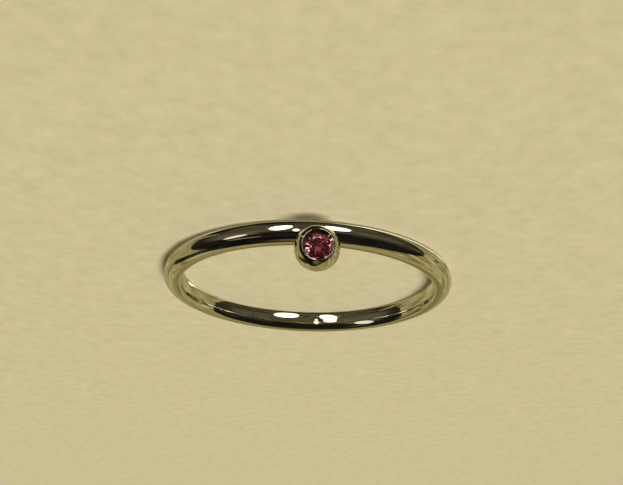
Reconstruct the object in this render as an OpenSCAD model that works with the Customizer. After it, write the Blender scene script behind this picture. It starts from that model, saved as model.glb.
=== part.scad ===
// Stacking ring: a thin polished white-gold band with a ball soldered to its front shoulder,
// and a small round red stone sunk into the ball.
// The ring lies on its back edge. The origin is the centre of the finger hole, half way through
// the band's width. +Z points out of the front edge, and the ball stands towards -Y.

/* [Band] */
// Diameter of the finger hole
finger_hole_d = 16.8; // [15:0.2:21]
// Thickness of the band, from the finger to the outside
band_t = 1.25; // [1.2:0.05:1.45]
// Width of the band, measured along the finger
band_w = 1.4; // [1.3:0.05:1.45]
// Radius of the domed inside, across the band
inner_dome_r = 1.4; // [1.3:0.1:1.7]
// Width of the level strip round the middle of the dome
inner_land_w = 0.3; // [0.2:0.05:0.4]
// Radius of the two eased edges beside the finger
inner_edge_r = 0.25; // [0.2:0.05:0.3]

/* [Ball setting] */
// Diameter of the ball
ball_d = 2.7; // [2.6:0.05:2.9]
// Distance from the finger hole's wall to the nearest point of the ball
ball_clear = 0.23; // [0.15:0.01:0.35]
// Distance of the ball's centre in front of the band's middle
ball_front = 1.35; // [1.2:0.05:1.5]
// Lean of the stone towards the front, from straight outwards
stone_lean = 8; // [0:1:20]
// Diameter of the recess where it opens on the ball's surface
rim_d = 1.86; // [1.8:0.02:1.92]
// Depth of the stone's table below the recess's mouth
table_drop = 0.04; // [0.02:0.01:0.06]
// Diameter of the lip at the foot of the bevel, which is narrower than the stone and traps it
lip_d = 1.42; // [1.4:0.01:1.44]
// Height of the lip's upright edge
lip_h = 0.03; // [0.02:0.01:0.04]

/* [Stone] */
// Diameter of the stone at its girdle
stone_d = 1.5; // [1.48:0.01:1.52]
// Width of the table as a share of the stone's diameter
table_share = 0.57; // [0.53:0.01:0.62]
// Height of the crown as a share of the stone's diameter
crown_share = 0.15; // [0.14:0.01:0.16]
// Thickness of the girdle as a share of the stone's diameter
girdle_share = 0.03; // [0.02:0.01:0.04]
// Depth of the pavilion as a share of the stone's diameter
pavilion_share = 0.43; // [0.4:0.01:0.45]
// Length of the lower halves as a share of the way from girdle to culet
lower_half_share = 0.77; // [0.7:0.01:0.85]
// Gap between the stone and its seat
seat_gap = 0.03; // [0.02:0.01:0.04]
// Turn of the stone about its own axis
stone_turn = 9; // [0:1:44]

/* [Hidden] */
$fn = 128;

// Band: the round outer side is a half circle as wide as the band.
hole_r = finger_hole_d / 2;
half_w = band_w / 2;
outer_side_x = hole_r + band_t - half_w;
// The dome's arc is cut off level where it meets the finger hole's wall.
dome_x = hole_r + sqrt(pow(inner_dome_r, 2) - pow(inner_land_w / 2, 2));
// Each eased edge is an arc that touches the dome from inside and the band's flat side.
inner_edge_z = half_w - inner_edge_r;
inner_edge_x = dome_x - sqrt(pow(inner_dome_r - inner_edge_r, 2) - pow(inner_edge_z, 2));
dome_end_z = inner_edge_z * inner_dome_r / (inner_dome_r - inner_edge_r);

// Ball: its centre lies on the -Y side of the finger hole's axis.
ball_r = ball_d / 2;
ball_y = -(hole_r + ball_clear + ball_r);

// Stone: a round brilliant with sixteen girdle corners, eight of them at the main facets.
MAINS = 8;
GIRDLE_SIDES = 2 * MAINS;
MAIN_STEP = 360 / MAINS;
HALF_STEP = MAIN_STEP / 2;
girdle_r = stone_d / 2;
girdle_h = girdle_share * stone_d;
table_r = table_share * girdle_r;
crown_h = crown_share * stone_d;
pavilion_h = pavilion_share * stone_d;
crown_run = girdle_r - table_r;
// A star facet ends half way between the table's side and the girdle.
star_r = (table_r * cos(HALF_STEP) + girdle_r) / 2;
star_h = crown_h * (1 - (star_r * cos(HALF_STEP) - table_r) / crown_run);
lower_r = girdle_r * (1 - lower_half_share);
lower_h = -girdle_h - pavilion_h * (1 - lower_r * cos(HALF_STEP) / girdle_r);
culet_h = -girdle_h - pavilion_h;

// Seat: heights along the stone's axis, from the ball's centre.
rim_r = rim_d / 2;
lip_r = lip_d / 2;
pocket_r = girdle_r + seat_gap;
rim_w = sqrt(pow(ball_r, 2) - pow(rim_r, 2));
girdle_w = rim_w - table_drop - crown_h;
lip_low_w = girdle_w + crown_h * (girdle_r - lip_r) / crown_run + seat_gap;
lip_top_w = lip_low_w + lip_h;
// The seat's cone runs beside the pavilion, one seat gap away from it.
pavilion_slope = pavilion_h / girdle_r;
cone_tip_w = girdle_w + culet_h - seat_gap * sqrt(1 + pow(pavilion_slope, 2));
pocket_low_w = cone_tip_w + pocket_r * pavilion_slope;
// The bevel's slope goes on outside the ball, so that the cut is clean.
mouth_r = rim_r + (rim_r - lip_r);
mouth_w = rim_w + (rim_w - lip_top_w);
above_ball_w = 1.1 * ball_r;

// Corners of a level polygon, a list of [x, y, z].
function corners(count, turn, radius, height) =
    [for (i = [0 : count - 1])
        let (angle = turn + i * 360 / count)
            [radius * cos(angle), radius * sin(angle), height]];

// Places and turns what stands on the stone's axis, with its zero at the ball's centre.
module on_stone_axis() {
    translate([0, ball_y, ball_front])
        rotate([90 - stone_lean, 0, 0])
            children();
}

// Section of the D-shaped wire, with x measured from the finger hole's axis: the round outer side,
// the middle with its flat sides, the domed inside, and the eased edges between them.
module wire_section() {
    intersection() {
        translate([outer_side_x, 0])
            circle(r = half_w);
        translate([inner_edge_x, -half_w])
            square([band_t, band_w]);
    }
    translate([inner_edge_x, -half_w])
        square([outer_side_x - inner_edge_x, band_w]);
    intersection() {
        translate([dome_x, 0])
            circle(r = inner_dome_r);
        translate([hole_r, -dome_end_z])
            square([outer_side_x - hole_r, 2 * dome_end_z]);
    }
    for (side = [-1, 1])
        translate([inner_edge_x, side * inner_edge_z])
            circle(r = inner_edge_r);
}

module band() {
    rotate_extrude()
        wire_section();
}

module ball() {
    translate([0, ball_y, ball_front])
        sphere(r = ball_r);
}

// The hollow for the stone: cone, pocket, lip and bright-cut bevel.
module stone_seat() {
    on_stone_axis()
        rotate_extrude()
            polygon([
                [0, cone_tip_w],
                [pocket_r, pocket_low_w],
                [pocket_r, lip_low_w],
                [lip_r, lip_low_w],
                [lip_r, lip_top_w],
                [mouth_r, mouth_w],
                [mouth_r, above_ball_w],
                [0, above_ball_w]
            ]);
}

// The band and the ball are soldered, so they are one solid.
module band_and_setting() {
    color("#cdc6b4")
        difference() {
            union() {
                band();
                ball();
            }
            stone_seat();
        }
}

// Brilliant cut: table, 8 stars, 8 kites and 16 upper halves above the girdle,
// 16 lower halves and 8 mains under it.
module brilliant() {
    star = MAINS;
    upper = star + MAINS;
    under = upper + GIRDLE_SIDES;
    lower = under + GIRDLE_SIDES;
    culet = lower + MAINS;
    points = concat(
        corners(MAINS, 0, table_r, crown_h),
        corners(MAINS, HALF_STEP, star_r, star_h),
        corners(GIRDLE_SIDES, 0, girdle_r, 0),
        corners(GIRDLE_SIDES, 0, girdle_r, -girdle_h),
        corners(MAINS, HALF_STEP, lower_r, lower_h),
        [[0, 0, culet_h]]
    );
    table = [[for (i = [MAINS - 1 : -1 : 0]) i]];
    main_facets = [for (i = [0 : MAINS - 1])
        let (
            next = (i + 1) % MAINS,
            before = (i + MAINS - 1) % MAINS,
            here = 2 * i,
            middle = 2 * i + 1,
            after = (2 * i + 2) % GIRDLE_SIDES
        )
            each [
                [i, next, star + i],
                [i, star + i, upper + here, star + before],
                [star + i, upper + middle, upper + here],
                [star + i, upper + after, upper + middle],
                [under + here, under + middle, lower + i],
                [under + middle, under + after, lower + i],
                [under + here, lower + i, culet, lower + before]
            ]];
    girdle = [for (i = [0 : GIRDLE_SIDES - 1])
        let (next = (i + 1) % GIRDLE_SIDES)
            [upper + i, upper + next, under + next, under + i]];
    polyhedron(points, concat(table, main_facets, girdle));
}

module stone() {
    color("#a8123c")
        on_stone_axis()
            translate([0, 0, girdle_w])
                rotate([0, 0, stone_turn])
                    brilliant();
}

band_and_setting();
stone();
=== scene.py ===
"""A thin polished white-gold stacking ring with a small red stone sunk into a ball.

The ring lies on its back edge. The origin is the centre of the finger hole, half way through the
band's width, +Z points out of the front edge and the ball stands towards -Y. Sizes are in
millimetres until a mesh, a lamp or the camera is made, and in metres from there on.
"""

import logging
import math
from dataclasses import dataclass, field
from enum import Enum
from typing import Any

import bpy
import numpy as np
from mathutils import Matrix, Vector


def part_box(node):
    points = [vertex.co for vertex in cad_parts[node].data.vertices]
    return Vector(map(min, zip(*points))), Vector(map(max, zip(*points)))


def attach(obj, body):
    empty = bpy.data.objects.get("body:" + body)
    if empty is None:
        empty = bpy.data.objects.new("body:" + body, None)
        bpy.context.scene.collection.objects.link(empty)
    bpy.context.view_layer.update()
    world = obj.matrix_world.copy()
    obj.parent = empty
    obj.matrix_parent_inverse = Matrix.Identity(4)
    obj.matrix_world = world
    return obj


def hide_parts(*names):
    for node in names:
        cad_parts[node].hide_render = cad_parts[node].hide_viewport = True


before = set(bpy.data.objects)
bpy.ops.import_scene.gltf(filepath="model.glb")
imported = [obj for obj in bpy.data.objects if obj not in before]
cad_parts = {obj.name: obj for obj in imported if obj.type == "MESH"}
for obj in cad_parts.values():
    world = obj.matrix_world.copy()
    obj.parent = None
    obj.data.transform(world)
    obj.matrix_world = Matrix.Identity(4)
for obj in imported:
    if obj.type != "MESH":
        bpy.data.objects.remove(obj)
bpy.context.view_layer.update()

MM = 0.001  # metres in a millimetre
BODY = "root"
PART_ATTRIBUTE = "part"
LAMPLIGHT = "#fff6e6"
SKYLIGHT = "#b8d0d8"
VALUE_A, VALUE_B = 2, 3  # inputs of a Mix node that mixes values
COLOUR_A, COLOUR_B = 6, 7  # inputs of a Mix node that mixes colours
MIXED_COLOUR = 2  # its output
log = logging.getLogger("stacking_ring")


class Slot(Enum):
    """The record's material slots."""

    METAL = "polished_white_gold"
    STONE = "red_stone"


class Part(Enum):
    """Where a point of the metal's skin lies, as the value of its attribute."""

    BALL = 0.0
    SOLDER = 0.5
    BAND = 1.0


class Roll(Enum):
    """Which way up the camera is held, as a turn about its line of sight in degrees."""

    UPRIGHT = 0.0
    SETTING_AT_THE_TOP = 180.0


class Outline(Enum):
    """The outline of a lamp's face."""

    RECTANGLE = "RECTANGLE"
    ELLIPSE = "ELLIPSE"


def add_object(name: str, data: bpy.types.ID) -> bpy.types.Object:
    """Make an object and link it to the scene.

    Args:
        name: its name.
        data: its mesh, lamp or camera.

    Returns:
        The new object.
    """
    made = bpy.data.objects.new(name, data)
    bpy.context.collection.objects.link(made)
    return made


def add_mesh(
    name: str, points: np.ndarray, faces: list[list[int]], finish: bpy.types.Material,
) -> bpy.types.Object:
    """Make an object of a mesh in one material and link it to the scene.

    Args:
        name: name of the object and its mesh.
        points: its points, in metres.
        faces: the point numbers of each face, counterclockwise from outside.
        finish: its material.

    Returns:
        The new object.
    """
    mesh = bpy.data.meshes.new(name)
    mesh.from_pydata(points.tolist(), [], faces)
    mesh.materials.append(finish)
    mesh.update()
    return add_object(name, mesh)


def looking(azimuth: float, elevation: float) -> Vector:
    """Find a direction from the ring.

    Args:
        azimuth: its turn about Z from the ball's side, to the ring's right, in degrees.
        elevation: its height above the ring's plane, in degrees.

    Returns:
        The unit vector.
    """
    turn, lift = math.radians(azimuth), math.radians(elevation)
    return Vector((math.sin(turn) * math.cos(lift), -math.cos(turn) * math.cos(lift), math.sin(lift)))


def facing_ring(azimuth: float, elevation: float, slant: float) -> Matrix:
    """Find how a thing stands that faces the ring, with its Z away from it and its Y upwards.

    Args:
        azimuth: its turn about Z from the ball's side, to the ring's right, in degrees.
        elevation: its height above the ring's plane, in degrees.
        slant: its turn about the line to the ring, in degrees.

    Returns:
        The rotation.
    """
    straight_on = looking(azimuth, elevation).to_track_quat("Z", "Y").to_matrix()
    return straight_on @ Matrix.Rotation(math.radians(slant), 3, "Z")


def unit(vectors: np.ndarray) -> np.ndarray:
    """Scale vectors to length one along their last axis."""
    return vectors / np.linalg.norm(vectors, axis=-1, keepdims=True)


def swing(angle: np.ndarray, first: np.ndarray, second: np.ndarray) -> np.ndarray:
    """Swing from first to second, square to it: cos angle times first + sin angle times second."""
    return np.cos(angle)[..., None] * first + np.sin(angle)[..., None] * second


def running_total(steps: np.ndarray) -> np.ndarray:
    """Add steps up from zero along their first axis, so that the result is one longer."""
    return np.concatenate([np.zeros((1, *steps.shape[1:])), np.cumsum(steps, axis=0)])


def read_rows(place: np.ndarray, at: np.ndarray, rows: np.ndarray) -> np.ndarray:
    """Read rows that stand at given distances, with straight lines between them."""
    return np.stack([np.interp(place, at, column) for column in rows.T], axis=-1)


def straight(start: tuple[float, float], end: tuple[float, float], step: float) -> np.ndarray:
    """Sample a straight line.

    Point k of n is start + (k / n) times (end - start), so the end itself is left to what follows.

    Args:
        start: first point.
        end: last point.
        step: longest distance between samples.

    Returns:
        The samples, one row each.
    """
    count = max(1, math.ceil(math.dist(start, end) / step))
    share = np.arange(count)[:, None] / count
    return np.array(start) + share * (np.array(end) - np.array(start))


def arc(centre: tuple[float, float], radius: float, first: float, last: float, step: float) -> np.ndarray:
    """Sample an arc.

    Point k of n is centre + radius times (cos, sin) of first + (k / n) times (last - first).

    Args:
        centre: the arc's centre.
        radius: the arc's radius.
        first: angle where it starts, in degrees.
        last: angle where it ends, in degrees; the end itself is left to what follows.
        step: longest distance between samples.

    Returns:
        The samples, one row each.
    """
    count = max(1, math.ceil(math.radians(abs(last - first)) * radius / step))
    angle = np.radians(first + (last - first) * np.arange(count) / count)
    return np.array(centre) + radius * np.stack([np.cos(angle), np.sin(angle)], axis=1)


@dataclass
class Profile:
    """A plane curve with softened corners, read by the distance along it.

    Each point of the softened curve is the mean of the drawn one over a window centred there: the
    difference of the drawn curve's running integral at the window's two ends, over its width. On
    an open curve the window narrows to nothing at both ends. The normal is the tangent turned
    right by a quarter, (dv, -du).

    Attributes:
        drawn: dense points of the curve, metal on its left.
        window: width of the window.
        closed: whether the last point runs on to the first.
    """

    drawn: np.ndarray
    window: float
    closed: bool
    points: np.ndarray = field(init=False)
    normals: np.ndarray = field(init=False)
    along: np.ndarray = field(init=False)

    def __post_init__(self) -> None:
        """Soften the drawn points, then measure the distance along them and their normals."""
        drawn = np.vstack([self.drawn, self.drawn[:1]]) if self.closed else self.drawn
        steps = np.linalg.norm(np.diff(drawn, axis=0), axis=1)
        at = running_total(steps)
        whole = at[-1]
        integral = running_total((drawn[1:] + drawn[:-1]) / 2 * steps[:, None])
        half = np.full(len(at), self.window / 2)
        if not self.closed:
            half = np.minimum(half, np.minimum(at, whole - at))

        def running(place: np.ndarray) -> np.ndarray:
            """Read the running integral, which grows by the same amount in every round.

            Args:
                place: distances along the drawn curve.

            Returns:
                The integral up to each distance.
            """
            rounds = np.floor(place / whole) if self.closed else np.zeros(len(place))
            return read_rows(place - rounds * whole, at, integral) + rounds[:, None] * integral[-1]

        narrowest = 1e-6  # half a window, under which a point stays as it is drawn
        wide = np.maximum(half, narrowest)[:, None]
        mean = (running(at + half) - running(at - half)) / (2 * wide)
        self.points = np.where(half[:, None] > narrowest, mean, drawn)
        self.along = running_total(np.linalg.norm(np.diff(self.points, axis=0), axis=1))
        if self.closed:
            around = np.vstack([self.points[-2], self.points, self.points[1]])
            tangent = around[2:] - around[:-2]
        else:
            tangent = np.gradient(self.points, axis=0)
        self.normals = unit(np.stack([tangent[:, 1], -tangent[:, 0]], axis=1))

    @property
    def length(self) -> float:
        """Length of the softened curve."""
        return float(self.along[-1])

    def read(self, place: np.ndarray) -> tuple[np.ndarray, np.ndarray]:
        """Read points and normals at distances along the curve.

        Args:
            place: distances, of any shape; on a closed curve they may run past its end.

        Returns:
            The points and the unit normals, with one more axis than place.
        """
        inside = np.mod(place, self.length) if self.closed else place
        point, normal = (read_rows(inside, self.along, rows) for rows in (self.points, self.normals))
        return point, unit(normal)


@dataclass
class Skin:
    """One closed surface gathered from rings of points that share their joints."""

    points: list[np.ndarray] = field(default_factory=list)
    normals: list[np.ndarray] = field(default_factory=list)
    marks: list[np.ndarray] = field(default_factory=list)
    faces: list[list[int]] = field(default_factory=list)
    count: int = 0

    def add(self, points: np.ndarray, normals: np.ndarray, mark: float) -> np.ndarray:
        """Add a grid of points.

        Args:
            points: grid of points, in millimetres.
            normals: the surface's normal at each point.
            mark: a value kept with each point, read by the finish.

        Returns:
            The points' numbers, in the grid's own shape.
        """
        shape = points.shape[:-1]
        number = np.arange(math.prod(shape)).reshape(shape) + self.count
        self.points.append(points.reshape(-1, 3))
        self.normals.append(unit(normals.reshape(-1, 3)))
        self.marks.append(np.full(number.size, mark))
        self.count += number.size
        return number

    def join(self, rings: np.ndarray) -> None:
        """Join closed rings of points by quads.

        Args:
            rings: rows of point numbers, each a ring seen counterclockwise.
        """
        outer, inner = rings[:-1], rings[1:]
        quads = np.stack([outer, np.roll(outer, -1, 1), np.roll(inner, -1, 1), inner], axis=-1)
        self.faces.extend(quads.reshape(-1, 4).tolist())

    def fan(self, ring: np.ndarray, tip: int) -> None:
        """Close a ring of point numbers with triangles to one point."""
        triangles = np.stack([ring, np.roll(ring, -1), np.full(len(ring), tip)], axis=-1)
        self.faces.extend(triangles.tolist())

    def make_object(self, name: str, mark_name: str, finish: bpy.types.Material) -> bpy.types.Object:
        """Make the object at the origin, smooth, with the worked-out normals.

        Args:
            name: name of the object and its mesh.
            mark_name: name of the attribute that holds the marks.
            finish: its material.

        Returns:
            The new object, linked to the scene.
        """
        made = add_mesh(name, np.concatenate(self.points) * MM, self.faces, finish)
        mesh = made.data
        mesh.shade_smooth()
        mesh.normals_split_custom_set_from_vertices(np.concatenate(self.normals).tolist())
        attribute = mesh.attributes.new(mark_name, "FLOAT", "POINT")
        attribute.data.foreach_set("value", np.concatenate(self.marks).astype(np.float32))
        mesh.update()
        return made


@dataclass(frozen=True)
class StoneAxis:
    """The stone's axis: where the ball's centre lies and which way the stone looks.

    Attributes:
        centre: the ball's centre.
        lean: lean of the axis from straight outwards to the front, in degrees.
    """

    centre: tuple[float, float, float]
    lean: float

    @property
    def across(self) -> np.ndarray:
        """Unit vector along the band, to the ring's right."""
        return np.array([1.0, 0.0, 0.0])

    @property
    def out(self) -> np.ndarray:
        """Unit vector along the stone's axis, away from the ball's centre."""
        lean = math.radians(self.lean)
        return np.array([0.0, -math.cos(lean), math.sin(lean)])

    @property
    def up(self) -> np.ndarray:
        """Unit vector square to the other two, out of the ring's front edge."""
        return np.cross(self.out, self.across)

    def turn(self, radial: np.ndarray, axial: np.ndarray, angle: np.ndarray) -> np.ndarray:
        """Turn radial and axial parts about the axis.

        A vector is axial times out + radial times (cos angle times across + sin angle times up).

        Args:
            radial: parts square to the axis.
            axial: parts along the axis.
            angle: angles about the axis, in radians.

        Returns:
            The vectors.
        """
        side = swing(angle, self.across, self.up)
        return radial[..., None] * side + axial[..., None] * self.out

    def place(self, radius: np.ndarray, height: np.ndarray, angle: np.ndarray) -> np.ndarray:
        """Place points as turn does, with the ball's centre added."""
        return np.array(self.centre) + self.turn(radius, height, angle)


@dataclass(frozen=True)
class CutStone:
    """The round brilliant-cut stone.

    Attributes:
        girdle_r: radius of the girdle.
        table_share: width of the table as a share of the stone's diameter.
        crown_share: height of the crown as a share of the stone's diameter.
        girdle_share: thickness of the girdle as a share of the stone's diameter.
        pavilion_share: depth of the pavilion as a share of the stone's diameter.
        lower_half_share: length of the lower halves as a share of the way from girdle to culet.
        turned: turn of the stone about its own axis, in degrees.
        mains: number of main facets above the girdle, and under it.
    """

    girdle_r: float = 0.75
    table_share: float = 0.57
    crown_share: float = 0.15
    girdle_share: float = 0.03
    pavilion_share: float = 0.43
    lower_half_share: float = 0.77
    turned: float = 9.0
    mains: int = 8

    @property
    def table_r(self) -> float:
        """Radius of the table's corners."""
        return self.table_share * self.girdle_r

    @property
    def crown_h(self) -> float:
        """Height of the crown."""
        return self.crown_share * 2 * self.girdle_r

    @property
    def girdle_h(self) -> float:
        """Thickness of the girdle."""
        return self.girdle_share * 2 * self.girdle_r

    @property
    def pavilion_h(self) -> float:
        """Depth of the pavilion."""
        return self.pavilion_share * 2 * self.girdle_r

    def corners(self, axis: StoneAxis, girdle_height: float) -> np.ndarray:
        """Find all corners: table, star tips, girdle's top and under side, lower tips, culet.

        Corner k of a level ring of n lies at the angle turned + turn + k times 360 / n.

        Args:
            axis: the stone's axis.
            girdle_height: height of the girdle's top above the ball's centre.

        Returns:
            The corners, one row each.
        """
        half = math.pi / self.mains
        run = self.girdle_r - self.table_r
        star_r = (self.table_r * math.cos(half) + self.girdle_r) / 2
        star_h = self.crown_h * (1 - (star_r * math.cos(half) - self.table_r) / run)
        lower_r = self.girdle_r * (1 - self.lower_half_share)
        lower_h = -self.girdle_h - self.pavilion_h * (1 - lower_r * math.cos(half) / self.girdle_r)
        sides = 2 * self.mains

        def ring(count: int, turn: float, radius: float, height: float) -> np.ndarray:
            """Find a level ring of corners, with its height above the girdle's top."""
            angle = math.radians(self.turned) + turn + np.arange(count) * 2 * math.pi / count
            return axis.place(np.full(count, radius), np.full(count, girdle_height + height), angle)

        return np.concatenate([
            ring(self.mains, 0.0, self.table_r, self.crown_h),
            ring(self.mains, half, star_r, star_h),
            ring(sides, 0.0, self.girdle_r, 0.0),
            ring(sides, 0.0, self.girdle_r, -self.girdle_h),
            ring(self.mains, half, lower_r, lower_h),
            ring(1, 0.0, 0.0, -self.girdle_h - self.pavilion_h),
        ])

    def facets(self) -> list[list[int]]:
        """List the facets.

        Returns:
            The numbers of each facet's corners, counterclockwise from outside.
        """
        mains, sides = self.mains, 2 * self.mains
        star, upper = mains, 2 * mains
        under, lower = upper + sides, upper + 2 * sides
        culet = lower + mains
        facets = [list(range(mains))]
        for i in range(mains):
            after, before = (i + 1) % mains, (i - 1) % mains
            here, middle, there = 2 * i, 2 * i + 1, (2 * i + 2) % sides
            facets += [
                [star + i, after, i],
                [star + before, upper + here, star + i, i],
                [upper + here, upper + middle, star + i],
                [upper + middle, upper + there, star + i],
                [lower + i, under + middle, under + here],
                [lower + i, under + there, under + middle],
                [lower + before, culet, lower + i, under + here],
            ]
        for i in range(sides):
            after = (i + 1) % sides
            facets.append([under + i, under + after, upper + after, upper + i])
        return facets

    def build(self, axis: StoneAxis, girdle_height: float, finish: bpy.types.Material) -> bpy.types.Object:
        """Build the stone with flat facets.

        Args:
            axis: the stone's axis.
            girdle_height: height of the girdle's top above the ball's centre.
            finish: its material.

        Returns:
            The object, riding on the body and standing for the CAD node.
        """
        piece = add_mesh("cut_stone", self.corners(axis, girdle_height) * MM, self.facets(), finish)
        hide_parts("stone")
        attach(piece, BODY)
        return piece


@dataclass
class Band:
    """The plain D-shaped band: round outside, flat at both sides, domed inside.

    Attributes:
        hole_r: radius of the finger hole.
        thickness: thickness of the band.
        width: width of the band.
        dome_r: radius of the domed inside, across the band.
        land_w: width of the level strip round the middle of the dome.
        edge_r: radius of the eased edges beside the finger.
        soften: width of the softening window on the section.
    """

    hole_r: float = 8.4
    thickness: float = 1.25
    width: float = 1.4
    dome_r: float = 1.4
    land_w: float = 0.3
    edge_r: float = 0.25
    soften: float = 0.08

    def __post_init__(self) -> None:
        """Work out the centres of the section's arcs, then draw it."""
        self.half_w = self.width / 2
        self.side_x = self.hole_r + self.thickness - self.half_w
        self.dome_x = self.hole_r + math.sqrt(self.dome_r ** 2 - (self.land_w / 2) ** 2)
        self.edge_z = self.half_w - self.edge_r
        self.edge_x = self.dome_x - math.sqrt((self.dome_r - self.edge_r) ** 2 - self.edge_z ** 2)
        self.section = self.draw_section()

    def draw_section(self) -> Profile:
        """Draw the section from the middle of its inside, back edge first.

        It is the level strip, the dome, an eased edge, a flat side, the half circle outside, and
        the same on the way back.

        Returns:
            The softened closed section, u from the hole's axis and v along it.
        """
        step = 0.004
        land = math.degrees(math.asin(self.land_w / 2 / self.dome_r))
        slope = math.degrees(math.asin(self.edge_z / (self.dome_r - self.edge_r)))
        dome, edge_r, half_land = (self.dome_x, 0.0), self.edge_r, self.land_w / 2
        return Profile(np.concatenate([
            straight((self.hole_r, 0.0), (self.hole_r, -half_land), step),
            arc(dome, self.dome_r, 180.0 + land, 180.0 + slope, step),
            arc((self.edge_x, -self.edge_z), edge_r, 180.0 + slope, 270.0, step),
            straight((self.edge_x, -self.half_w), (self.side_x, -self.half_w), step),
            arc((self.side_x, 0.0), self.half_w, -90.0, 90.0, step),
            straight((self.side_x, self.half_w), (self.edge_x, self.half_w), step),
            arc((self.edge_x, self.edge_z), edge_r, 90.0, 180.0 - slope, step),
            arc(dome, self.dome_r, 180.0 - slope, 180.0 - land, step),
            straight((self.hole_r, half_land), (self.hole_r, 0.0), step),
        ]), self.soften, closed=True)

    def rows(self, count: int) -> np.ndarray:
        """Spread rows over the section, closer together where it turns faster.

        Their steps are even in (distance + weight times the angle turned through so far).

        Args:
            count: number of rows.

        Returns:
            Their distances along the section.
        """
        weight = 0.5
        normals = self.section.normals
        turned = np.arccos(np.clip(np.sum(normals[1:] * normals[:-1], axis=1), -1.0, 1.0))
        measure = self.section.along + weight * running_total(turned)
        return np.interp(np.arange(count) * measure[-1] / count, measure, self.section.along)

    def on_surface(self, turn: np.ndarray, place: np.ndarray) -> tuple[np.ndarray, np.ndarray]:
        """Find points of the band's surface.

        The section point (u, v) at the distance place is turned about Z: a point is
        (u sin turn, -u cos turn, v), and its normal is turned the same way.

        Args:
            turn: angles from the ball's side, in radians.
            place: distances along the section.

        Returns:
            The points and their normals.
        """
        point, normal = self.section.read(place)

        def revolve(pair: np.ndarray) -> np.ndarray:
            """Turn (u, v) about the finger hole's axis."""
            u, v = pair[..., 0], pair[..., 1]
            return np.stack([u * np.sin(turn), -u * np.cos(turn), v], axis=-1)

        return revolve(point), revolve(normal)


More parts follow.
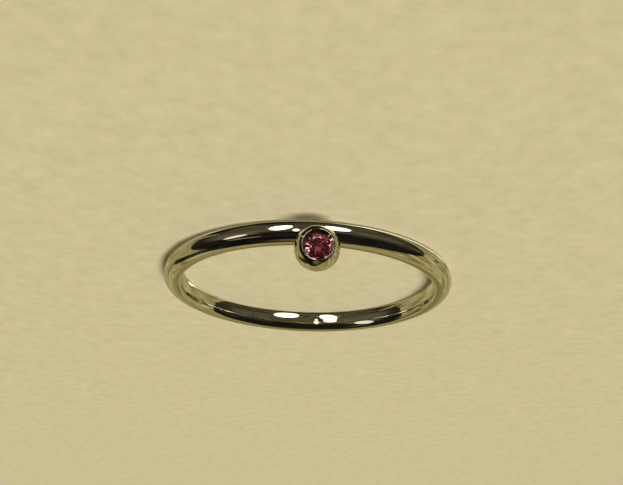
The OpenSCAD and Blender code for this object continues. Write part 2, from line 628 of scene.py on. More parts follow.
@dataclass
class BallSetting:
    """The ball and the recess in it that holds the stone.

    Attributes:
        stone: the stone that it holds.
        hole_r: radius of the band's finger hole.
        ball_r: radius of the ball.
        clear: distance from the finger hole's wall to the ball.
        front: distance of the ball's centre in front of the band's middle.
        lean: lean of the stone towards the front, in degrees.
        rim_r: radius where the recess opens on the ball.
        table_drop: depth of the stone's table below the recess's mouth.
        lip_r: radius of the lip that traps the stone, at the foot of the bright-cut bevel.
        lip_h: height of the lip's upright edge.
        gap: gap between the stone and its seat.
        soften: width of the softening window on the recess's edges.
        bevel_margin: angle on the ball between its own rings and the recess, in degrees.
    """

    stone: CutStone
    hole_r: float
    ball_r: float = 1.35
    clear: float = 0.23
    front: float = 1.35
    lean: float = 8.0
    rim_r: float = 0.93
    table_drop: float = 0.04
    lip_r: float = 0.71
    lip_h: float = 0.03
    gap: float = 0.03
    soften: float = 0.08
    bevel_margin: float = 4.0

    def __post_init__(self) -> None:
        """Work out the axis and the heights along it."""
        stone = self.stone
        self.axis = StoneAxis((0.0, -(self.hole_r + self.clear + self.ball_r), self.front), self.lean)
        self.rim_height = math.sqrt(self.ball_r ** 2 - self.rim_r ** 2)
        self.girdle_height = self.rim_height - self.table_drop - stone.crown_h
        crown_slope = stone.crown_h / (stone.girdle_r - stone.table_r)
        self.lip_low = self.girdle_height + crown_slope * (stone.girdle_r - self.lip_r) + self.gap
        self.pocket_r = stone.girdle_r + self.gap
        slope = stone.pavilion_h / stone.girdle_r
        culet = self.girdle_height - stone.girdle_h - stone.pavilion_h
        self.cone_tip = culet - self.gap * math.sqrt(1 + slope ** 2)
        self.pocket_low = self.cone_tip + self.pocket_r * slope
        self.start_angle = math.asin(self.rim_r / self.ball_r) + math.radians(self.bevel_margin)

    def draw_seat(self) -> Profile:
        """Draw the recess: ball, bright-cut bevel, lip, pocket and cone.

        Returns:
            The softened open profile, u from the stone's axis and v along it.
        """
        step = 0.002
        rim_angle = math.degrees(math.acos(self.rim_r / self.ball_r))
        corners = [
            (self.rim_r, self.rim_height),
            (self.lip_r, self.lip_low + self.lip_h),
            (self.lip_r, self.lip_low),
            (self.pocket_r, self.lip_low),
            (self.pocket_r, self.pocket_low),
            (0.0, self.cone_tip),
        ]
        sides = [straight(a, b, step) for a, b in zip(corners, corners[1:])]
        shell = arc((0.0, 0.0), self.ball_r, 90.0 - math.degrees(self.start_angle), rim_angle, step)
        return Profile(np.concatenate([shell, *sides, [corners[-1]]]), self.soften, closed=False)

    def lay_ball(
        self, skin: Skin, ring: np.ndarray, way: np.ndarray, facing: np.ndarray,
    ) -> tuple[np.ndarray, np.ndarray]:
        """Lay the ball's surface from the solder to a circle round the stone's axis.

        The sphere is laid out flat from its point nearest to the band: the way at the angle d
        from the opposite point lies at 2 tan(d / 2) from the middle. There the wanted circle is a
        circle too, and the rings run to it along straight lines through its middle, at radii in
        even ratios.

        Args:
            skin: the skin that takes it.
            ring: point numbers of the solder's last ring.
            way: unit ways of that ring from the ball's centre.
            facing: unit ways into the band, along it, and square to both, one row each.

        Returns:
            The circle's point numbers and its angles about the stone's axis.
        """
        outward, sideways, upward = -facing[0], facing[1], facing[2]
        apart = math.acos(float(np.dot(outward, self.axis.out)))
        far = 2 * math.tan((self.start_angle + apart) / 2)
        near = 2 * math.tan((self.start_angle - apart) / 2)
        towards = self.axis.out - math.cos(apart) * outward
        towards = unit(np.array([np.dot(towards, sideways), np.dot(towards, upward)]))
        middle, radius = towards * (far - near) / 2, (far + near) / 2

        down = np.arccos(way @ outward)
        flat = unit(np.stack([way @ sideways, way @ upward], axis=1))
        flat = flat * 2 * np.tan(down / 2)[:, None] - middle
        reach = np.linalg.norm(flat, axis=1)
        steps = 52
        share = np.arange(1, steps + 1)[:, None] / steps
        spread = reach ** (1 - share) * radius ** share
        flat = middle + spread[..., None] * (flat / reach[:, None])
        distance = np.linalg.norm(flat, axis=-1)
        down = 2 * np.arctan(distance / 2)
        side = flat / distance[..., None]
        normal = swing(down, outward, side[..., :1] * sideways + side[..., 1:] * upward)
        rows = skin.add(np.array(self.axis.centre) + self.ball_r * normal, normal, Part.BALL.value)
        skin.join(np.vstack([ring[None], rows]))
        last = normal[-1]
        return rows[-1], np.arctan2(last @ self.axis.up, last @ self.axis.across)

    def lay_seat(self, skin: Skin, ring: np.ndarray, angle: np.ndarray) -> None:
        """Turn the recess's profile about the stone's axis and close it at the cone's tip.

        The rows lie close together up to the cone and run on over it, then spread to its tip.

        Args:
            skin: the skin that takes it.
            ring: point numbers of the circle where the recess starts.
            angle: that circle's angles about the stone's axis.
        """
        profile = self.draw_seat()
        step, cone_rows, run_on = 0.01, 12, 3
        cone = math.hypot(self.pocket_r, self.pocket_low - self.cone_tip)
        fine = np.arange(step, profile.length - cone + run_on * step, step)
        coarse = np.linspace(fine[-1], profile.length, cone_rows + 2)[1:-1]
        point, normal = profile.read(np.concatenate([fine, coarse]))
        points = self.axis.place(point[:, :1], point[:, 1:], angle[None, :])
        normals = self.axis.turn(normal[:, :1], normal[:, 1:], angle[None, :])
        rows = skin.add(points, normals, Part.BALL.value)
        tip = self.axis.place(np.zeros(1), np.full(1, self.cone_tip), np.zeros(1))
        end = skin.add(tip, self.axis.out[None, :], Part.BALL.value)
        skin.join(np.vstack([ring[None], rows]))
        skin.fan(rows[-1], int(end[0]))


@dataclass
class BandAndSetting:
    """The band with the ball soldered to its front shoulder, as one closed skin.

    Attributes:
        band: the band.
        setting: the ball and its recess.
        solder_r: radius of the solder fillet between band and ball.
        around: number of columns round the whole band.
        section_steps: number of steps round the band's section.
        window_columns: half the width of the opening under the ball, in columns.
        window_low: angle on the round outer side where that opening starts, in degrees.
    """

    band: Band
    setting: BallSetting
    solder_r: float = 0.09
    around: int = 560
    section_steps: int = 112
    window_columns: int = 14
    window_low: float = -20.0

    def __post_init__(self) -> None:
        """Work out the ways at the joint: into the band, along it, and square to both."""
        self.centre = np.array(self.setting.axis.centre)
        inward = unit(np.array([0.0, -self.band.side_x, 0.0]) - self.centre)
        along = self.setting.axis.across
        self.facing = np.stack([inward, along, np.cross(along, inward)])

    def rolled(self, angle: np.ndarray) -> tuple[np.ndarray, np.ndarray]:
        """Find where a ball of the solder's radius touches the band and the setting at once.

        Its centre is the setting's centre + (ball radius + solder radius) times a way at the
        angle g from inward, and g is halved down to the solder's distance from the section.

        Args:
            angle: angles about the way inward, from along the band, in radians.

        Returns:
            The touching points on the band, as turn angles and distances along the section.
        """
        section = self.band.section
        inward, along, upward = self.facing
        reach = self.setting.ball_r + self.solder_r
        side = swing(angle, along, upward)
        low = np.zeros(len(angle))
        high = np.full(len(angle), math.pi / 2)
        halvings = 40
        for _ in range(halvings):
            middle = (low + high) / 2
            point = self.centre + reach * swing(middle, inward, side)
            flat = np.stack([np.hypot(point[:, 0], point[:, 1]), point[:, 2]], axis=1)
            gaps = flat[:, None, :] - section.points[None, :, :]
            nearest = np.argmin(np.einsum("ijk,ijk->ij", gaps, gaps), axis=1)
            offset = gaps[np.arange(len(angle)), nearest]
            distance = np.einsum("ij,ij->i", offset, section.normals[nearest])
            high = np.where(distance > self.solder_r, middle, high)
            low = np.where(distance > self.solder_r, low, middle)
        normal = section.normals[nearest]
        slide = offset[:, 1] * normal[:, 0] - offset[:, 0] * normal[:, 1]
        return np.arctan2(point[:, 0], -point[:, 1]), section.along[nearest] + slide

    def row_near(self, place: np.ndarray, point: tuple[float, float]) -> int:
        """Find the grid row whose section point lies nearest to a given one."""
        points, _ = self.band.section.read(place)
        return int(np.argmin(np.linalg.norm(points - np.array(point), axis=1)))

    def lay_band(self, skin: Skin) -> tuple[np.ndarray, np.ndarray, np.ndarray]:
        """Lay the band's grid, open where the ball stands.

        Args:
            skin: the skin that takes it.

        Returns:
            The opening's edge, counterclockwise: point numbers, turn angles and section distances.
        """
        band, columns, rows = self.band, self.around, self.section_steps
        turn = (np.arange(columns) - columns // 2) * 2 * math.pi / columns
        place = band.rows(rows)
        number = skin.add(*band.on_surface(*np.meshgrid(turn, place, indexing="ij")), Part.BAND.value)
        across = np.roll(number, -1, 1)
        quads = np.stack([number, np.roll(number, -1, 0), np.roll(across, -1, 0), across], axis=-1)

        angle = math.radians(self.window_low)
        low_point = (band.side_x + band.half_w * math.cos(angle), band.half_w * math.sin(angle))
        low = self.row_near(place, low_point)
        high = self.row_near(place, (band.hole_r, band.edge_z))
        first, last = columns // 2 - self.window_columns, columns // 2 + self.window_columns
        keep = np.ones((columns, rows), dtype=bool)
        keep[first:last, low:high] = False
        skin.faces.extend(quads[keep].tolist())

        i = np.concatenate([
            np.arange(first, last),
            np.full(high - low, last),
            np.arange(last, first, -1),
            np.full(high - low, first),
        ])
        j = np.concatenate([
            np.full(last - first, low),
            np.arange(low, high),
            np.full(last - first, high),
            np.arange(high, low, -1),
        ])
        return number[i, j], turn[i], place[j]

    def lay_joint(self, skin: Skin) -> tuple[np.ndarray, np.ndarray]:
        """Lay the band's opening up to the solder, then the solder's fillet.

        The rings between the opening's edge and the solder are even steps in (turn, distance), so
        they lie on the band. The fillet's point at share t is the rolling ball's centre + its
        radius times the way that turns evenly from the band's touching point to the ball's.

        Args:
            skin: the skin that takes it.

        Returns:
            The last ring's point numbers and its unit ways from the ball's centre.
        """
        edge, edge_turn, edge_place = self.lay_band(skin)
        outer_r = self.band.hole_r + self.band.thickness
        samples, patch_rings, fillet_rings = 1441, 6, 10

        dense = np.linspace(-math.pi, math.pi, samples)
        touch_turn, touch_place = self.rolled(dense)
        middle = (touch_place.min() + touch_place.max()) / 2
        seen = np.unwrap(np.arctan2(touch_place - middle, touch_turn * outer_r))
        wanted = np.arctan2(edge_place - middle, edge_turn * outer_r)
        wanted = seen[0] + np.mod(wanted - seen[0], 2 * math.pi)
        touch_turn, touch_place = self.rolled(np.interp(wanted, seen, dense))

        share = np.arange(1, patch_rings)[:, None] / patch_rings
        turn = edge_turn + share * (touch_turn - edge_turn)
        place = edge_place + share * (touch_place - edge_place)
        patch = skin.add(*self.band.on_surface(turn, place), Part.BAND.value)

        start, normal = self.band.on_surface(touch_turn, touch_place)
        centre = start + self.solder_r * normal
        way = unit(centre - self.centre)
        opening = np.arccos(np.clip(np.sum(normal * way, axis=1), -1.0, 1.0))
        share = np.arange(fillet_rings + 1)[:, None] / fillet_rings
        first_part = (np.sin((1 - share) * opening) / np.sin(opening))[..., None] * -normal
        second_part = (np.sin(share * opening) / np.sin(opening))[..., None] * -way
        toward = first_part + second_part
        fillet = skin.add(centre + self.solder_r * toward, -toward, Part.SOLDER.value)
        skin.join(np.vstack([edge[None], patch, fillet]))
        return fillet[-1], way

    def build(self, finish: bpy.types.Material) -> bpy.types.Object:
        """Build the whole metal part.

        Args:
            finish: its material.

        Returns:
            The object, riding on the body and standing for the CAD node.
        """
        skin = Skin()
        ring, way = self.lay_joint(skin)
        ring, angle = self.setting.lay_ball(skin, ring, way, self.facing)
        self.setting.lay_seat(skin, ring, angle)
        piece = skin.make_object("band_and_setting_skin", PART_ATTRIBUTE, finish)
        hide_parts("band_and_setting")
        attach(piece, BODY)
        return piece


def linear(colour: str) -> tuple[float, float, float, float]:
    """Turn an sRGB hex colour to linear values.

    A part p is p / 12.92 up to 0.04045, and ((p + 0.055) / 1.055) to the power 2.4 above it.

    Args:
        colour: the colour as "#rrggbb".

    Returns:
        Red, green, blue and an alpha of 1.
    """
    parts = [int(colour[k:k + 2], 16) / 255 for k in (1, 3, 5)]
    red, green, blue = (p / 12.92 if p <= 0.04045 else ((p + 0.055) / 1.055) ** 2.4 for p in parts)
    return red, green, blue, 1.0


def add_node(tree: bpy.types.NodeTree, kind: str, inputs: dict[Any, Any], **settings: Any) -> bpy.types.Node:
    """Add a node with its settings and links.

    Args:
        tree: the tree that takes it.
        kind: the node's type name.
        inputs: for an input's name or number, its value or the output that is linked to it.
        settings: the node's own properties.

    Returns:
        The new node.
    """
    node = tree.nodes.new(kind)
    for name, value in settings.items():
        setattr(node, name, value)
    for key, value in inputs.items():
        if isinstance(value, bpy.types.NodeSocket):
            tree.links.new(value, node.inputs[key])
        else:
            node.inputs[key].default_value = value
    return node


def new_material(name: str) -> tuple[bpy.types.Material, bpy.types.NodeTree]:
    """Make a material without nodes.

    Args:
        name: its name.

    Returns:
        The material and its tree.
    """
    material = bpy.data.materials.new(name)
    material.use_nodes = True
    material.node_tree.nodes.clear()
    return material, material.node_tree


def place_in_mm(tree: bpy.types.NodeTree) -> bpy.types.NodeSocket:
    """Read the place on the object, in millimetres.

    Args:
        tree: the material's nodes.

    Returns:
        The place.
    """
    place = add_node(tree, "ShaderNodeTexCoord", {}).outputs["Object"]
    return add_node(
        tree, "ShaderNodeVectorMath", {0: place, "Scale": 1 / MM}, operation="SCALE",
    ).outputs[0]


@dataclass(frozen=True)
class PolishedWhiteGold:
    """Cast and drawn 18 carat white gold, polished on a felt wheel.

    To the eye it is a warm grey mirror. Fine wheel marks run along the band and haze each
    highlight in thin lines, the hand filing left the surface slightly uneven, so that
    reflections waver, wearing has left a few hairlines, and the solder is a little duller.
    Real wheel marks are too fine to show in the picture, so these are drawn as coarse as they
    need to be: one pixel of it is about 0.07 mm.

    Attributes:
        colour: the metal's own colour.
        roughness: its roughness where it is cleanest.
        haze: roughness that the wheel marks add at most.
        scratched: roughness that a hairline adds.
        solder_haze: roughness that the solder adds.
        solder_fade: difference from the solder's mark over which its haze fades out.
        wheel_mark: spacing of the wheel marks across the band, in millimetres.
        patch: length over which the wheel marks fade and come back, in millimetres.
        hairline: width of a hairline, in millimetres.
        hairline_length: length of a hairline, in millimetres.
        hairline_ways: the ways that hairlines run, as Euler angles in radians.
        wave: length of the unevenness, in millimetres.
        wave_depth: depth of the unevenness, in millimetres.
    """

    colour: str = "#e4dfd2"
    roughness: float = 0.03
    haze: float = 0.09
    scratched: float = 0.16
    solder_haze: float = 0.14
    solder_fade: float = 0.3
    wheel_mark: float = 0.07
    patch: float = 1.8
    hairline: float = 0.03
    hairline_length: float = 1.6
    hairline_ways: tuple[tuple[float, float, float], ...] = ((0.2, 0.5, 0.7), (0.4, -0.6, 2.1))
    wave: float = 1.6
    wave_depth: float = 0.002

    def wheel_marks(self, tree: bpy.types.NodeTree, in_mm: bpy.types.NodeSocket) -> bpy.types.NodeSocket:
        """Draw the wheel marks, rings about the finger hole's axis.

        They are noise of (distance from the axis, height) over the spacing, times a slow noise.

        Args:
            tree: the material's nodes.
            in_mm: the place on the object, in millimetres.

        Returns:
            The marks, from 0 to 1.
        """
        flat = add_node(
            tree, "ShaderNodeVectorMath", {0: in_mm, 1: (1.0, 1.0, 0.0)}, operation="MULTIPLY",
        ).outputs[0]
        radius = add_node(tree, "ShaderNodeVectorMath", {0: flat}, operation="LENGTH").outputs["Value"]
        height = add_node(tree, "ShaderNodeSeparateXYZ", {0: in_mm}).outputs["Z"]
        across = add_node(tree, "ShaderNodeCombineXYZ", {0: radius, 1: height}).outputs[0]
        lines = add_node(
            tree, "ShaderNodeTexNoise", {"Vector": across, "Scale": 1 / self.wheel_mark, "Detail": 2.0},
        ).outputs["Fac"]
        slow = add_node(
            tree, "ShaderNodeTexNoise", {"Vector": in_mm, "Scale": 1 / self.patch, "Detail": 2.0},
        ).outputs["Fac"]
        lines = add_node(
            tree, "ShaderNodeMapRange", {"Value": lines, "From Min": 0.4, "From Max": 0.7},
        ).outputs[0]
        slow = add_node(
            tree, "ShaderNodeMapRange", {"Value": slow, "From Min": 0.35, "From Max": 0.65},
        ).outputs[0]
        return add_node(tree, "ShaderNodeMath", {0: lines, 1: slow}, operation="MULTIPLY").outputs[0]

    def hairlines(
        self, tree: bpy.types.NodeTree, in_mm: bpy.types.NodeSocket, turned: tuple[float, float, float],
    ) -> bpy.types.NodeSocket:
        """Draw hairlines one way: the peaks of a noise that is drawn out along its own X.

        Args:
            tree: the material's nodes.
            in_mm: the place on the object, in millimetres.
            turned: the way they run, as Euler angles in radians.

        Returns:
            1 on a hairline and 0 beside it.
        """
        scale = (1 / self.hairline_length, 1 / self.hairline, 1 / self.hairline)
        drawn = add_node(
            tree, "ShaderNodeMapping", {"Vector": in_mm, "Rotation": turned, "Scale": scale},
        ).outputs[0]
        noise = add_node(
            tree, "ShaderNodeTexNoise", {"Vector": drawn, "Scale": 1.0, "Detail": 0.0},
        ).outputs["Fac"]
        return add_node(
            tree, "ShaderNodeMapRange", {"Value": noise, "From Min": 0.74, "From Max": 0.78},
        ).outputs[0]

    def make(self) -> bpy.types.Material:
        """Make the material, whose roughness is the clean one with each layer's share added.

        Returns:
            The material.
        """
        material, tree = new_material("polished_white_gold")
        in_mm = place_in_mm(tree)
        part = add_node(tree, "ShaderNodeAttribute", {}, attribute_name=PART_ATTRIBUTE).outputs["Fac"]
        off_solder = add_node(
            tree, "ShaderNodeMath", {0: part, 1: Part.SOLDER.value}, operation="SUBTRACT",
        ).outputs[0]
        off_solder = add_node(tree, "ShaderNodeMath", {0: off_solder}, operation="ABSOLUTE").outputs[0]
        solder = add_node(
            tree, "ShaderNodeMapRange",
            {"Value": off_solder, "From Min": self.solder_fade, "From Max": 0.0},
        ).outputs[0]

        layers = [
            (self.wheel_marks(tree, in_mm), self.haze),
            *((self.hairlines(tree, in_mm, way), self.scratched) for way in self.hairline_ways),
            (solder, self.solder_haze),
        ]
        roughness: bpy.types.NodeSocket | float = self.roughness
        for layer, amount in layers:
            roughness = add_node(
                tree, "ShaderNodeMath", {0: layer, 1: amount, 2: roughness}, operation="MULTIPLY_ADD",
            ).outputs[0]
        wave = add_node(
            tree, "ShaderNodeTexNoise",
            {"Vector": in_mm, "Scale": 1 / self.wave, "Detail": 1.0, "Roughness": 0.4},
        ).outputs["Fac"]
        bump = add_node(
            tree, "ShaderNodeBump",
            {"Height": wave, "Strength": 1.0, "Distance": self.wave_depth * MM},
        ).outputs["Normal"]
        shader = add_node(
            tree, "ShaderNodeBsdfPrincipled",
            {"Base Color": linear(self.colour), "Metallic": 1.0, "Roughness": roughness, "Normal": bump},
        )
        add_node(tree, "ShaderNodeOutputMaterial", {"Surface": shader.outputs[0]})
        return material


@dataclass(frozen=True)
class CutRedStone:
    """Ruby or garnet, ground into facets and polished.

    To the eye it is a deep and rather dull red, with small bright facets.

    Attributes:
        colour: its colour.
        refraction: its index of refraction.
        silk: share of the light that the fine needles inside it throw back.
    """

    colour: str = "#b85872"
    refraction: float = 1.77
    silk: float = 0.05

    def make(self) -> bpy.types.Material:
        """Make the material.

        Returns:
            The material.
        """
        material, tree = new_material("red_stone")
        shader = add_node(
            tree, "ShaderNodeBsdfPrincipled",
            {
                "Base Color": linear(self.colour),
                "Roughness": 0.0,
                "IOR": self.refraction,
                "Transmission Weight": 1.0 - self.silk,
            },
        )
        add_node(tree, "ShaderNodeOutputMaterial", {"Surface": shader.outputs[0]})
        return material


@dataclass(frozen=True)
class PaleCard:
    """Uncoated card under the ring, pressed from wood pulp.

    To the eye it is matt and warm pale beige, a little cloudy, with a fine fibre. Real fibres are
    too fine to show in the picture, so these are drawn as coarse as they need to be.

    Attributes:
        colours: its two colours, in cloudy turns.
        cloud: size of the clouds, in millimetres.
        fibre: width of the fibres, in millimetres.
        fibre_length: length of the fibres, in millimetres.
        fibre_depth: height of the fibres, in millimetres.
        roughness: its roughness.
        gloss: strength of its faint gloss.
    """

    colours: tuple[str, str] = ("#e2dcb9", "#efe9c9")
    cloud: float = 1.0
    fibre: float = 0.12
    fibre_length: float = 0.6
    fibre_depth: float = 0.012
    roughness: float = 0.9
    gloss: float = 0.2

    def make(self) -> bpy.types.Material:
        """Make the material.

        Returns:
            The material.
        """
        material, tree = new_material("pale_card")
        in_mm = place_in_mm(tree)
        clouds = add_node(
            tree, "ShaderNodeTexNoise",
            {"Vector": in_mm, "Scale": 1 / self.cloud, "Detail": 5.0, "Roughness": 0.6},
        ).outputs["Fac"]
        clouds = add_node(
            tree, "ShaderNodeMapRange", {"Value": clouds, "From Min": 0.3, "From Max": 0.7},
        ).outputs[0]
        first, second = (linear(colour) for colour in self.colours)
        colour = add_node(
            tree, "ShaderNodeMix", {0: clouds, COLOUR_A: first, COLOUR_B: second}, data_type="RGBA",
        ).outputs[MIXED_COLOUR]
        drawn = add_node(
            tree, "ShaderNodeMapping",
            {"Vector": in_mm, "Scale": (1 / self.fibre_length, 1 / self.fibre, 1 / self.fibre)},
        ).outputs[0]
        fibres = add_node(
            tree, "ShaderNodeTexNoise", {"Vector": drawn, "Scale": 1.0, "Detail": 2.0},
        ).outputs["Fac"]
        bump = add_node(
            tree, "ShaderNodeBump", {"Height": fibres, "Strength": 1.0, "Distance": self.fibre_depth * MM},
        ).outputs["Normal"]
        shader = add_node(
            tree, "ShaderNodeBsdfPrincipled",
            {
                "Base Color": colour,
                "Roughness": self.roughness,
                "Specular IOR Level": self.gloss,
                "Normal": bump,
            },
        )
        add_node(tree, "ShaderNodeOutputMaterial", {"Surface": shader.outputs[0]})
        return material


@dataclass
class Floor:
    """The plain floor, a disc at the height of the ring's back edge.

    Attributes:
        height: its height, in metres.
        radius: its radius, in metres.
        corners: number of corners of its edge.
    """

    height: float
    radius: float = 3.0
    corners: int = 96

    def build(self, finish: bpy.types.Material) -> bpy.types.Object:
        """Build the floor, hidden from the metal.

        Corner k of n is (radius cos angle, radius sin angle, height) at k times 360 / n.

        Args:
            finish: its material.

        Returns:
            The object.
        """
        angle = np.arange(self.corners) * 2 * math.pi / self.corners
        across, along = self.radius * np.cos(angle), self.radius * np.sin(angle)
        points = np.stack([across, along, np.full(self.corners, self.height)], axis=1)
        floor = add_mesh("floor", points, [list(range(self.corners))], finish)
        floor.visible_glossy = False
        floor.visible_shadow = False
        return floor


@dataclass
class Camera:
    """The camera, at the photograph's angle to the ring.

    Attributes:
        aim: the point in the middle of the picture, in millimetres.
        distance: its distance from there, in millimetres.
        azimuth: its turn about Z from the ball's side, in degrees.
        elevation: its height above the ring's plane, in degrees.
        tilt: the picture's small turn, in degrees.
        lens: focal length, in millimetres.
        sensor: width of the picture in the camera, in millimetres.
        roll: which way up it is held.
    """

    aim: tuple[float, float, float] = (0.34, -9.98, 1.01)
    distance: float = 57.9
    azimuth: float = 2.96
    elevation: float = 21.73
    tilt: float = 1.81
    lens: float = 57.64
    sensor: float = 36.0
    roll: Roll = Roll.SETTING_AT_THE_TOP

    def build(self) -> bpy.types.Object:
        """Build the camera and make it the scene's own.

        Returns:
            The camera.
        """
        data = bpy.data.cameras.new("camera")
        data.lens = self.lens
        data.sensor_width = self.sensor
        data.clip_start = MM
        camera = add_object("camera", data)
        turned = facing_ring(self.azimuth, self.elevation, self.tilt + self.roll.value)
        place = (Vector(self.aim) + self.distance * looking(self.azimuth, self.elevation)) * MM
        camera.matrix_world = Matrix.Translation(place) @ turned.to_4x4()
        bpy.context.scene.camera = camera
        return camera


@dataclass(frozen=True)
class Patch:
    """An oval part of the studio's surroundings, as it is seen from the ring.

    Attributes:
        azimuth: its turn about Z from the ball's side, to the ring's right, in degrees.
        elevation: its height above the ring's plane, in degrees.
        half_width: half its width as seen from the ring, in degrees.
        half_height: half its height as seen from the ring, in degrees.
        paleness: how pale it is: 0 is the dark of the room, 1 its pale walls, and more is brighter.
        slant: its turn about the line to the ring, in degrees.
        softness: half the width of its blurred border, in degrees.
    """

    azimuth: float
    elevation: float
    half_width: float
    half_height: float
    paleness: float
    slant: float = 0.0
    softness: float = 2.0

    def paint(
        self, tree: bpy.types.NodeTree, way: bpy.types.NodeSocket, below: bpy.types.NodeSocket | float,
    ) -> bpy.types.NodeSocket:
        """Paint the patch over what lies below it.

        Its cover is a smooth step of 1 - r / 2 about r = 1, where r is the length of (u, v): the
        direction's parts across and up the patch, over the sines of its half width and height.

        Args:
            tree: the world's nodes.
            way: the direction seen from the ring.
            below: the paleness so far.

        Returns:
            The new paleness.
        """
        across, up = (math.sin(math.radians(half)) for half in (self.half_width, self.half_height))
        flatten = 1000.0  # keeps the part along the line to the patch out of r
        turned = facing_ring(self.azimuth, self.elevation, self.slant).to_euler()
        local = add_node(
            tree, "ShaderNodeMapping",
            {"Vector": way, "Rotation": turned, "Scale": (2 * across, 2 * up, flatten)},
            vector_type="TEXTURE",
        ).outputs[0]
        near = add_node(
            tree, "ShaderNodeTexGradient", {"Vector": local}, gradient_type="SPHERICAL",
        ).outputs["Fac"]
        half = math.radians((self.half_width + self.half_height) / 2)
        blur = math.radians(self.softness) / math.tan(half) / 2
        cover = add_node(
            tree, "ShaderNodeMapRange", {"Value": near, "From Min": 0.5 - blur, "From Max": 0.5 + blur},
            interpolation_type="SMOOTHSTEP",
        ).outputs[0]
        depth = add_node(tree, "ShaderNodeSeparateXYZ", {0: local}).outputs["Z"]
        ahead = add_node(tree, "ShaderNodeMath", {0: depth, 1: 0.0}, operation="GREATER_THAN").outputs[0]
        cover = add_node(tree, "ShaderNodeMath", {0: cover, 1: ahead}, operation="MULTIPLY").outputs[0]
        return add_node(
            tree, "ShaderNodeMix", {0: cover, VALUE_A: below, VALUE_B: self.paleness}, data_type="FLOAT",
        ).outputs[0]


@dataclass(frozen=True)
class Surroundings:
    """What the metal mirrors: a dark room with pale walls round the far side of the ring.

    Attributes:
        patches: the pale and dark parts, each painted over the ones before it.
        dark: two colours of the dark parts, in slow turns.
        pale: two colours of the pale parts, in slow turns.
        backdrop: the plain colour that the camera sees behind the floor.
        waver: how far the patches' borders waver, in radians.
        waver_scale: how fast the borders waver, for directions of length 1.
        streak_scale: how fast the two colours of a part take turns, for directions of length 1.
        layering: how many times longer than high the streaks of colour are.
    """

    # Each row holds azimuth, elevation, half width, half height and paleness.
    patches: tuple[Patch, ...] = (
        Patch(0.0, -45.0, 78.0, 50.0, 0.13, softness=14.0),
        Patch(180.0, 82.0, 13.0, 13.0, 0.24, softness=7.0),
        Patch(-141.0, 2.0, 46.0, 65.0, 0.8),
        Patch(-168.0, 1.0, 40.0, 60.0, 0.8),
        Patch(165.0, -2.0, 60.0, 51.0, 0.8),
        Patch(-107.0, 13.0, 8.0, 5.0, 1.2, slant=-30.0, softness=3.0),
        Patch(-112.0, -7.0, 3.0, 9.0, 0.3, slant=-25.0),
        Patch(-84.0, -10.0, 9.0, 2.5, 0.4, slant=-30.0, softness=1.5),
        Patch(129.0, 33.0, 9.0, 23.0, 0.03),
        Patch(111.0, 3.0, 8.0, 36.0, 0.7),
        Patch(114.0, -41.0, 22.0, 3.0, 0.75),
        Patch(58.0, -2.0, 20.0, 17.0, 0.2, softness=6.0),
    )
    dark: tuple[str, str] = ("#040506", "#28251f")
    pale: tuple[str, str] = ("#867840", "#d8cd94")
    backdrop: str = "#d8cfa8"
    waver: float = 0.015
    waver_scale: float = 5.0
    streak_scale: float = 2.4
    layering: float = 4.5

    def build(self) -> bpy.types.World:
        """Build the world.

        Returns:
            The world.
        """
        world = bpy.data.worlds.new("surroundings")
        world.use_nodes = True
        tree = world.node_tree
        tree.nodes.clear()
        way = add_node(tree, "ShaderNodeTexCoord", {}).outputs["Generated"]
        loose = add_node(
            tree, "ShaderNodeTexNoise", {"Vector": way, "Scale": self.waver_scale, "Detail": 1.0},
        ).outputs["Color"]
        loose = add_node(
            tree, "ShaderNodeVectorMath", {0: loose, 1: (0.5, 0.5, 0.5)}, operation="SUBTRACT",
        ).outputs[0]
        loose = add_node(
            tree, "ShaderNodeVectorMath", {0: loose, "Scale": 2 * self.waver}, operation="SCALE",
        ).outputs[0]
        bent = add_node(tree, "ShaderNodeVectorMath", {0: way, 1: loose}, operation="ADD").outputs[0]
        paleness: bpy.types.NodeSocket | float = 0.0
        for patch in self.patches:
            paleness = patch.paint(tree, bent, paleness)

        level = add_node(
            tree, "ShaderNodeMapping", {"Vector": way, "Scale": (1.0, 1.0, self.layering)},
        ).outputs[0]
        slow = add_node(
            tree, "ShaderNodeTexNoise", {"Vector": level, "Scale": self.streak_scale, "Detail": 4.0},
        ).outputs["Fac"]
        slow = add_node(
            tree, "ShaderNodeMapRange", {"Value": slow, "From Min": 0.33, "From Max": 0.67},
        ).outputs[0]
        dark, pale = (
            add_node(
                tree, "ShaderNodeMix", {0: slow, COLOUR_A: linear(first), COLOUR_B: linear(second)},
                data_type="RGBA",
            ).outputs[MIXED_COLOUR]
            for first, second in (self.dark, self.pale)
        )
        colour = add_node(
            tree, "ShaderNodeMix", {0: paleness, COLOUR_A: dark, COLOUR_B: pale},
            data_type="RGBA", clamp_factor=False,
        ).outputs[MIXED_COLOUR]
        seen = add_node(tree, "ShaderNodeLightPath", {}).outputs["Is Camera Ray"]
        colour = add_node(
            tree, "ShaderNodeMix", {0: seen, COLOUR_A: colour, COLOUR_B: linear(self.backdrop)},
            data_type="RGBA",
        ).outputs[MIXED_COLOUR]
        shader = add_node(tree, "ShaderNodeBackground", {"Color": colour})
        add_node(tree, "ShaderNodeOutputWorld", {"Surface": shader.outputs[0]})
        return world


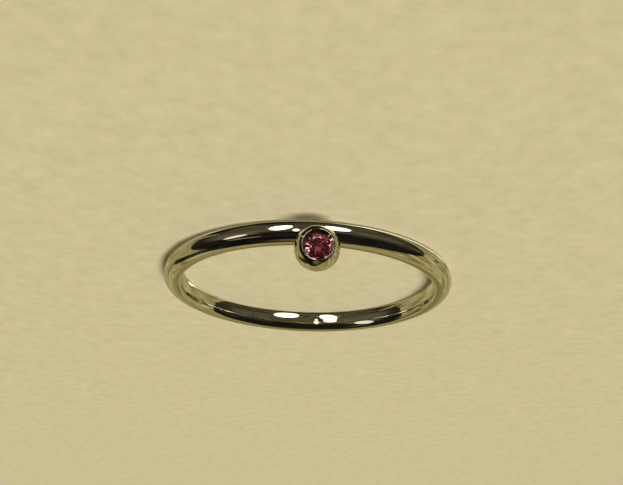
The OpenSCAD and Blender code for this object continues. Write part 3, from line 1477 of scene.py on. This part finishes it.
@dataclass(frozen=True)
class Softbox:
    """One lamp box, seen from the ring as a bright window.

    Attributes:
        name: its name.
        azimuth: its turn about Z from the ball's side, to the ring's right, in degrees.
        elevation: its height above the ring's plane, in degrees.
        width: its width as seen from the ring, in degrees.
        height: its height as seen from the ring, in degrees.
        radiance: brightness of its face, where 1 is the brightest plain white of the picture.
        slant: its turn about the line to the ring, in degrees.
        outline: whether its face is square-cornered or oval.
        colour: colour of its light.
        distance: its distance from the ring, in metres.
    """

    name: str
    azimuth: float
    elevation: float
    width: float
    height: float
    radiance: float
    slant: float = 0.0
    outline: Outline = Outline.ELLIPSE
    colour: str = LAMPLIGHT
    distance: float = 0.6

    def build(self) -> bpy.types.Object:
        """Build the lamp, whose power is pi times its face's area times radiance.

        Returns:
            The lamp.
        """
        light = bpy.data.lights.new(self.name, "AREA")
        light.shape = self.outline.value
        light.size = 2 * self.distance * math.tan(math.radians(self.width / 2))
        light.size_y = 2 * self.distance * math.tan(math.radians(self.height / 2))
        area = light.size * light.size_y * (math.pi / 4 if self.outline is Outline.ELLIPSE else 1.0)
        light.energy = math.pi * area * self.radiance
        light.color = linear(self.colour)[:3]
        lamp = add_object(self.name, light)
        turned = facing_ring(self.azimuth, self.elevation, self.slant)
        place = looking(self.azimuth, self.elevation) * self.distance
        lamp.matrix_world = Matrix.Translation(place) @ turned.to_4x4()
        lamp.visible_camera = False
        return lamp


@dataclass
class Studio:
    """Soft light: the surroundings, a main lamp and lamp boxes.

    Attributes:
        surroundings: what the metal mirrors beside the lamps.
        key_azimuth: turn of the main light about Z from the ball's side, in degrees.
        key_elevation: height of the main light above the ring's plane, in degrees.
        key_energy: light of the main lamp on a surface square to it.
        key_size: width of the main lamp as seen from the ring, in degrees.
        boxes: the lamp boxes.
    """

    surroundings: Surroundings = Surroundings()
    key_azimuth: float = -30.0
    key_elevation: float = 52.0
    key_energy: float = 2.55
    key_size: float = 30.0
    # Each row holds azimuth, elevation, width, height and radiance after its name.
    boxes: tuple[Softbox, ...] = (
        Softbox("window_right_narrow", 12.5, -6.0, 5.5, 26.0, 1.8),
        Softbox("window_right_wide", 26.0, -31.0, 15.0, 46.0, 3.2),
        Softbox("window_left", -19.5, -39.0, 20.0, 40.0, 3.2),
        Softbox("lamp", 60.0, 11.0, 22.0, 15.0, 1.0, slant=32.0),
        Softbox("lamp_trim", 59.0, 36.0, 25.0, 5.0, 0.35, slant=-18.0),
        Softbox("curtain_right", 64.0, -14.0, 48.0, 40.0, 0.03, colour=SKYLIGHT, distance=0.7),
        Softbox("curtain_left", -54.0, -16.0, 40.0, 36.0, 0.04, slant=20.0, colour=SKYLIGHT),
        Softbox("low_strip", -157.0, -43.0, 12.0, 34.0, 1.2, outline=Outline.RECTANGLE),
    )

    def build(self) -> None:
        """Build the world and the lamps."""
        bpy.context.scene.world = self.surroundings.build()
        for box in self.boxes:
            box.build()
        sun = bpy.data.lights.new("key", "SUN")
        sun.energy = self.key_energy
        sun.angle = math.radians(self.key_size)
        sun.color = linear(LAMPLIGHT)[:3]
        lamp = add_object("key", sun)
        lamp.rotation_euler = facing_ring(self.key_azimuth, self.key_elevation, 0.0).to_euler()
        lamp.visible_glossy = False


def main() -> None:
    """Build the ring, its floor, light and camera, and report each piece."""
    logging.basicConfig(level=logging.INFO, format="%(name)s: %(message)s")
    camera = Camera().build()
    band = Band()
    setting = BallSetting(CutStone(), band.hole_r)
    pieces = [
        BandAndSetting(band, setting).build(PolishedWhiteGold().make()),
        setting.stone.build(setting.axis, setting.girdle_height, CutRedStone().make()),
    ]
    for piece in pieces:
        log.info("%s: %d points, %d faces", piece.name, len(piece.data.vertices), len(piece.data.polygons))
    Floor(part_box("band_and_setting")[0].z).build(PaleCard().make())
    Studio().build()
    bpy.context.scene.view_settings.view_transform = "Standard"
    log.info("camera at %s m", tuple(round(value, 4) for value in camera.matrix_world.translation))


if __name__ == "__main__":
    main()
